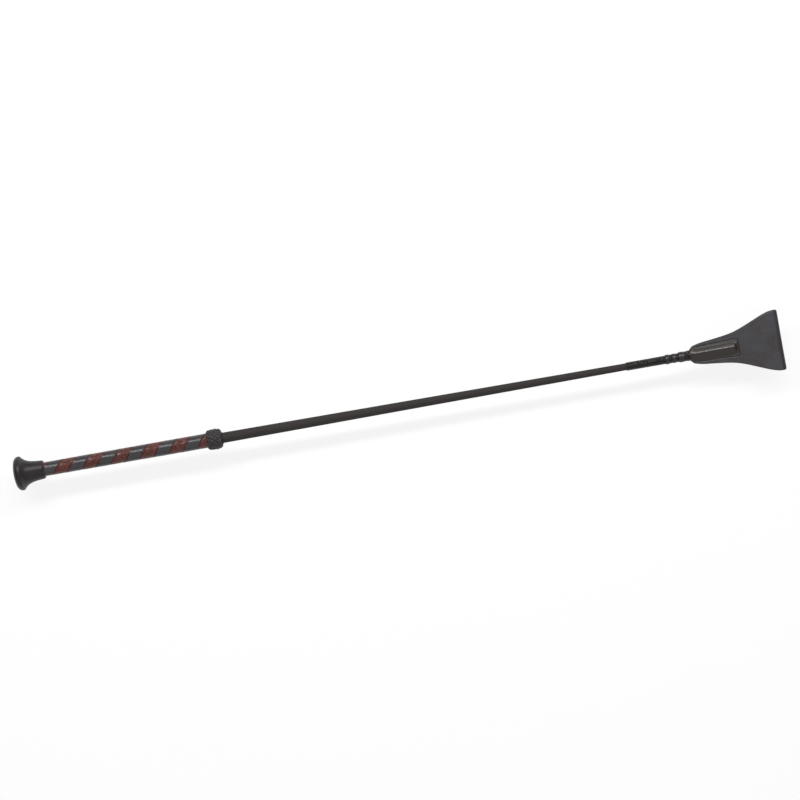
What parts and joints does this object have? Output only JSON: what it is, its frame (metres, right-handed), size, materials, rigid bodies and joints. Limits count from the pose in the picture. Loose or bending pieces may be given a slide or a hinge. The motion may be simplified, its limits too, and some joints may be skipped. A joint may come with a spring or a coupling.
{
  "type": "riding crop",
  "caption": "Short riding crop: flared rubber cap, two-colour leather-wrapped grip, braided knot, tapered covered shaft and a folded leather flap bound to the tip that bends and springs back.",
  "frame": {"origin": "centre of the small flat on the cap's domed end", "axes": "+X along the crop from the cap towards the flap, +Z square to the flap's face, +Y across the flap"},
  "size_m": [0.65, 0.051, 0.0286],
  "materials": {
    "rod_fibreglass": "bare glass-fibre rod, satin",
    "shaft_cover_braid": "fine braided nylon, matte",
    "grip_core_rubber": "matte foam rubber",
    "grip_leather_brown": "smooth red-brown leather, soft sheen",
    "grip_leather_black": "smooth black leather, soft sheen",
    "cap_rubber": "moulded rubber, satin",
    "knot_underlay_cord": "matte cord",
    "knot_strands": "matte braided leather strands",
    "whipping_thread": "glossy waxed nylon thread",
    "smooth_leather_band": "polished leather",
    "flap_leather": "dark brown-black leather, soft sheen",
    "seam_thread": "black sewing thread"
  },
  "bodies": {
    "handle_and_shaft": {"core_rod": "rod_fibreglass", "shaft_cover": "shaft_cover_braid", "grip_core": "grip_core_rubber", "brown_grip_strip": "grip_leather_brown", "black_grip_strip": "grip_leather_black", "end_cap": "cap_rubber", "knot_underlay": "knot_underlay_cord", "braided_knot": "knot_strands", "shaft_whipping": "whipping_thread", "thread_ring_1": "whipping_thread", "thread_ring_2": "whipping_thread", "neck_binding": "whipping_thread", "smooth_band_1": "smooth_leather_band", "smooth_band_2": "smooth_leather_band", "smooth_band_3": "smooth_leather_band", "flap_upper_leather": "flap_leather", "flap_lower_leather": "flap_leather", "upper_seam_stitches": "seam_thread", "lower_seam_stitches": "seam_thread"},
    "flap": {"flap_folded_end": "flap_leather"}
  },
  "joints": [
    {"name": "flap_bend", "type": "hinge", "parent": "handle_and_shaft", "child": "flap", "pos_m": [0.61725, 0, 0], "axis": [0, 1, 0], "range_deg": [-40, 40], "stiffness_Nm_per_rad": 0.05}
  ]
}
